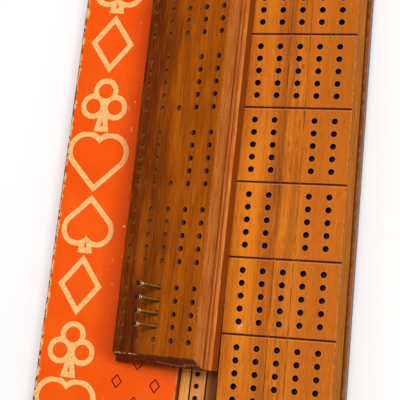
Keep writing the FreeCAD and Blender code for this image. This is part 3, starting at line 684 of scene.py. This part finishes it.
# Painted shade on the side beyond the lines, deepening towards the box.
painted_shade_by_box = strip.mix((u + streaks * 2).rise(6, 10), srgb(178, 98, 40), srgb(104, 36, 0))
colour = strip.mix((u > INLAY) * 0.9, colour, painted_shade_by_box)
rubbed = (-8 - u - streaks * 3).rise(0, 3)
colour = strip.mix(rubbed * 0.7, colour, srgb(160, 86, 32))
in_hole = (w < STRIP_HEIGHT - 0.3) * (w > STRIP_HEIGHT / 2) * (abs(u) < 4)
in_hole = in_hole * (abs(v) < STRIP_REACH - 6)
colour = strip.mix(in_hole * 0.9, colour, srgb(112, 44, 8))
end = abs(v) > STRIP_REACH - 0.1
end_grain = strip.noise(point, (1.5, 1.5, 1.5), 3.0, 0.7, 193)
colour = strip.mix(end * 0.8, colour, strip.ramp(
    end_grain, (0.3, srgb(120, 70, 32)), (0.7, srgb(178, 116, 62))))
strip.surface(
    Base_Color=colour, Roughness=0.36 + streaks * 0.16 + pores * 0.2,
    Normal=strip.bump(streaks * 0.6 - pores, 0.1))
strip.cover("strip_board")

inlay = Finish("dark_inlay", Roughness=0.5, Specular_IOR_Level=0.08)
point = inlay.point(strip_place)
bands, streaks, pores = wood_figure(inlay, point, seed=211)
inlay.surface(Base_Color=inlay.ramp(streaks, (0.3, srgb(36, 10, 0)), (0.7, srgb(92, 44, 12))))
inlay.cover("inlay_left", "inlay_right")

# ---------------------------------------------------------------- carton sleeve
# A flat card sleeve, open at both ends: grey-cream card printed orange outside, creased and
# folded round the tray. The print has worn off the folds, and the corners are bruised.

carton_along = -joint_axis["tray_slide"].normalized()
carton_place = stance("carton_sleeve", carton_along, Vector((0, 0, 1)))
CARTON_HALF = 48.5
CARTON_REACH = 161.0
CARTON_HEIGHT = 25.0
CARD = 0.9
SUIT_PITCH = 41.0
SUIT_COLUMN = -26.0
SUIT_START = 11.0
SUIT_SIZE = 33.0
STROKE = 3.8
LOZENGE_PITCH = 26.0
LOZENGE_COLUMN = 8.0
LOZENGE_HALF = (3.2, 4.2)


def disc(x, y, centre_x, centre_y, radius):
    """Distance outside a disc."""
    dx = x - centre_x
    dy = y - centre_y
    return (dx * dx + dy * dy) ** 0.5 - radius


def lozenge(x, y, half_width, half_height):
    """Distance outside a lozenge round the origin; x is already without its sign."""
    slope = math.hypot(1 / half_width, 1 / half_height)
    return (x / half_width + abs(y) / half_height - 1) / slope


def heart(x, y):
    """Distance outside a heart 1.2 wide and 1.1 high; x is already without its sign."""
    return disc(x, y, 0.25, 0.25, 0.3536).least(lozenge(x, y, 0.5, 0.5))


def stalk(x, y):
    """Distance outside the flared stalk under a spade or a club."""
    flare = x - 0.03 - 0.2 * (-0.22 - y).most(0)
    return flare.most(abs(y + 0.36) - 0.18)


def card_suits(u, v):
    """Distance, in millimetres, to a column of card suits: heart, club, lozenge, spade."""
    x = abs(u - SUIT_COLUMN) / SUIT_SIZE
    y = (v - SUIT_START).wrapped(-SUIT_PITCH / 2, SUIT_PITCH / 2) / SUIT_SIZE
    turn = ((v - SUIT_START) / SUIT_PITCH).rounded().wrapped(0, 4)
    club = disc(x, y, 0.0, 0.25, 0.21).least(disc(x, y, 0.235, -0.08, 0.21)).least(stalk(x, y))
    spade = (heart(x * 1.2, (0.09 - y) * 1.2) / 1.2).least(stalk(x, y))
    shapes = (heart(x, y + 0.02), club, lozenge(x, y, 0.4, 0.52), spade)
    nearest = shapes[0]
    for number, shape in enumerate(shapes[1:], start=1):
        chosen = abs(turn - number) < 0.5
        nearest = nearest + (shape - nearest) * chosen
    return nearest * SUIT_SIZE


mesh = bmesh.new()
bmesh.ops.create_cube(mesh, size=1)
bmesh.ops.delete(
    mesh, geom=[face for face in mesh.faces if abs(face.normal.y) > 0.5], context="FACES_ONLY")
bmesh.ops.transform(
    mesh, verts=mesh.verts,
    matrix=Matrix.Diagonal((2 * CARTON_HALF * MM, 2 * CARTON_REACH * MM, CARTON_HEIGHT * MM, 1)))
folds = [edge for edge in mesh.edges if not edge.is_boundary]
bmesh.ops.bevel(
    mesh, geom=folds, offset=1.1 * MM, offset_type="OFFSET", segments=3, profile=0.5,
    affect="EDGES", material=-1)
long_edges = [edge for edge in mesh.edges
              if abs((edge.verts[0].co - edge.verts[1].co).y) > 0.1]
bmesh.ops.subdivide_edges(mesh, edges=long_edges, cuts=60, use_grid_fill=True)
wide_edges = [edge for edge in mesh.edges
              if abs((edge.verts[0].co - edge.verts[1].co).x) > 0.05]
bmesh.ops.subdivide_edges(mesh, edges=wide_edges, cuts=12, use_grid_fill=True)
for vertex in mesh.verts:
    across_share = min(abs(vertex.co.x) / (CARTON_HALF * MM), 1)
    along_share = vertex.co.y / (CARTON_REACH * MM)
    sag = (1 - across_share ** 2) * (0.14 + 0.1 * math.sin(along_share * 5 + 1)) * MM
    vertex.co.z -= math.copysign(sag, vertex.co.z)
bmesh.ops.recalc_face_normals(mesh, faces=mesh.faces)
bmesh.ops.solidify(mesh, geom=mesh.faces, thickness=CARD * MM)
for face in mesh.faces:
    face.smooth = True
bmesh.ops.transform(
    mesh, verts=mesh.verts,
    matrix=carton_place @ Matrix.Translation((0, 0, CARTON_HEIGHT / 2 * MM)))
sleeve = piece_of(mesh, "carton_sleeve_folded")

print_card = Finish("printed_card", Specular_IOR_Level=0.08)
point = print_card.point(carton_place)
u, v, w = print_card.split(point)

# Cream card suits are printed on the orange, and small lozenges in dark outline beside them.
mottle = print_card.noise(point, (0.03, 0.03, 0.03), 4.0, 0.6, 223)
speck = print_card.noise(point, (0.9, 0.9, 0.9), 3.0, 0.7, 227)
orange = print_card.ramp(mottle, (0.3, srgb(241, 81, 0)), (0.7, srgb(250, 93, 4)))
on_top = w > CARTON_HEIGHT - 0.6
to_suit = abs(card_suits(u, v))
ink_edge = (1 - to_suit.rise(STROKE / 2 + 0.1, STROKE / 2 + 0.5)) * on_top
ink = (1 - to_suit.rise(STROKE / 2 - 0.25, STROKE / 2 + 0.05)) * on_top
cream = print_card.ramp(speck, (0.36, srgb(222, 164, 94)), (0.52, srgb(252, 194, 121)))
colour = print_card.mix(ink_edge * 0.5, orange, srgb(222, 58, 8))
colour = print_card.mix(ink, colour, cream)
row = (v / (LOZENGE_PITCH / 2)).rounded()
stagger = row.wrapped(0, 2) * (LOZENGE_PITCH / 2)
lozenge_u = (u - LOZENGE_COLUMN - stagger).wrapped(-LOZENGE_PITCH / 2, LOZENGE_PITCH / 2)
lozenge_v = v - row * (LOZENGE_PITCH / 2)
to_lozenge = abs(lozenge(abs(lozenge_u), lozenge_v, *LOZENGE_HALF))
outlined = (1 - to_lozenge.rise(0.34, 0.56)) * on_top * (u > 3) * (u < 40)
colour = print_card.mix(outlined * 0.97, colour, srgb(104, 0, 0))

# A shadow of the leaning board is painted on the orange, under the board and beside its left
# edge.
painted_board_shadow = u.rise(-16, -4) * v.rise(-122, -108) * on_top
colour = print_card.mix(painted_board_shadow * 0.45, colour, srgb(176, 52, 6))

# The folds and the mouths have worn to bare card, and are dark where they are nicked.
scuff = print_card.noise(point, (0.3, 0.16, 0.3), 4.0, 0.7, 229)
from_fold = (CARTON_HALF - abs(u)).most(CARTON_HEIGHT / 2 - abs(w - CARTON_HEIGHT / 2))
right = u > 0
from_bare = from_fold + (scuff - 0.5) * (8 - right * 6)
fold = 1 - from_bare.rise(1.2 - right, 2 - right * 1.1)
mouth = abs(v).rise(CARTON_REACH - 2.2, CARTON_REACH - 0.6) * scuff.rise(0.42, 0.56)
worn = fold.most(mouth)
chafed = (abs(u + 3) < 6) * scuff.rise(0.655, 0.675) * speck.rise(0.48, 0.54) * on_top
worn = worn.most(chafed).most(speck.rise(0.745, 0.77) * scuff.rise(0.5, 0.56))
colour = print_card.mix(worn * 0.9, colour, srgb(240, 196, 128))
# The sides are darker: the right one nearly all over, the left one towards the bottom.
darker_sides = (abs(u) > CARTON_HALF - 0.4) * (1 - w.rise(1, 14) * (1 - right * 0.8))
colour = print_card.mix(darker_sides * 0.75, colour, srgb(92, 40, 20))
nick = print_card.noise(point, (0.45, 0.28, 0.45), 3.0, 0.7, 233)
from_nick = from_fold - (nick - 0.5) * (7 - right * 5)
nicked = 1 - from_nick.rise(0.6 - right * 0.5, 1.2 - right * 0.7)
colour = print_card.mix(nicked * 0.85, colour, srgb(92, 36, 14))

# The inside and the cut ends were never printed.
inner = abs(u) < CARTON_HALF - CARD * 0.6
inner = inner * (abs(w - CARTON_HEIGHT / 2) < CARTON_HEIGHT / 2 - CARD * 0.75)
inner = inner.most(abs(v) > CARTON_REACH - 0.05)
colour = print_card.mix(inner, colour, print_card.ramp(
    speck, (0.3, srgb(176, 160, 134)), (0.7, srgb(206, 192, 164))))
print_card.surface(
    Base_Color=colour, Roughness=0.44 + mottle * 0.1 + worn * 0.3,
    Normal=print_card.bump(speck * 0.3 + mottle * 2 - worn * 0.5, 0.12))
sleeve.data.materials.append(print_card.material)
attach(sleeve, "sleeve")
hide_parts("carton_sleeve")

# ---------------------------------------------------------------- carton tray
# The tray inside the sleeve is the same card, unprinted: one sheet scored and folded up into
# four walls, with its cut edges showing at the rim.

TRAY_RIM = spread("carton_tray", Vector((0, 0, 1)))[1] / MM
tray = Finish("plain_card", Roughness=0.85, Specular_IOR_Level=0.2)
point = tray.point(carton_place)
pulp = tray.noise(point, (1.3, 1.3, 1.3), 5.0, 0.7, 239)
stain = tray.noise(point, (0.035, 0.03, 0.05), 3.0, 0.6, 241)
colour = tray.ramp(
    pulp * 0.6 + stain * 0.4, (0.3, srgb(178, 162, 136)), (0.7, srgb(214, 201, 174)))
u, v, w = tray.split(point)
colour = tray.mix((w > TRAY_RIM - 0.1) * 0.6, colour, srgb(160, 142, 116))
tray.surface(Base_Color=colour, Normal=tray.bump(pulp, 0.1))
tray.cover("carton_tray")

# ---------------------------------------------------------------- floor, light and camera
# A white sweep under an even sky and two square lamps. One is overhead. The other is broader
# and stands to the right and beyond the middle, so the faces towards the drawer are in shade.

plane = bmesh.new()
bmesh.ops.create_grid(plane, x_segments=1, y_segments=1, size=4.0)
floor = piece_of(plane, "floor")
sweep = Finish("white_sweep", Roughness=0.9, Specular_IOR_Level=0.0)
dust = sweep.noise(sweep.point(), (0.01, 0.01, 0.01), 2.0)


def ray(kind):
    """1 on the rays of one kind, such as those that the camera sends out."""
    return sweep.node("ShaderNodeLightPath", {}, {}, kind)


# Looked at, the floor is white. The light that it throws back on the pieces is a light grey's.
seen = ray("Is Camera Ray") + ray("Is Glossy Ray") + ray("Is Transmission Ray")
plain = sweep.ramp(dust, (0.0, (0.82, 0.82, 0.82, 1)), (1.0, (0.84, 0.84, 0.84, 1)))
sweep.surface(Base_Color=sweep.mix(seen.least(1), plain, (0.985, 1.01, 1.02, 1)))
floor.data.materials.append(sweep.material)

world = bpy.data.worlds.new("studio")
bpy.context.scene.world = world
world.use_nodes = True
world.node_tree.nodes["Background"].inputs["Color"].default_value = (1.0, 1.0, 1.0, 1)
world.node_tree.nodes["Background"].inputs["Strength"].default_value = 0.44


def lamp(name, place, aim, size, power):
    """A square soft box that points from its place to its aim."""
    light = bpy.data.lights.new(name, "AREA")
    light.size = size
    light.energy = power
    holder = bpy.data.objects.new(name, light)
    bpy.context.scene.collection.objects.link(holder)
    holder.location = place
    holder.rotation_euler = (Vector(aim) - Vector(place)).to_track_quat("-Z", "Y").to_euler()


LIT_POINT = (-0.03, 0, 0)
lamp("right", (0.7, 0.3, 1.5), LIT_POINT, 0.4, 8.7)
lamp("overhead", (0.0, 0.1, 1.7), LIT_POINT, 0.28, 10.0)

CAMERA_PLACE = (0.16581, -0.12373, 0.79304)
CAMERA_RIGHT = Vector((0.95826, 0.08552, -0.27279))
CAMERA_UP = Vector((-0.04277, 0.98636, 0.15895))
CAMERA_BACK = CAMERA_RIGHT.cross(CAMERA_UP)
FILM_WIDTH = 36
FOCAL_LENGTH = 112.46
lens = bpy.data.cameras.new("camera")
lens.sensor_width = FILM_WIDTH
lens.lens = FOCAL_LENGTH
lens.clip_end = 20
camera = bpy.data.objects.new("camera", lens)
bpy.context.scene.collection.objects.link(camera)
stand = Matrix((CAMERA_RIGHT, CAMERA_UP, CAMERA_BACK)).transposed().to_4x4()
stand.translation = CAMERA_PLACE
camera.matrix_world = stand
bpy.context.scene.camera = camera
bpy.context.scene.view_settings.view_transform = "Standard"
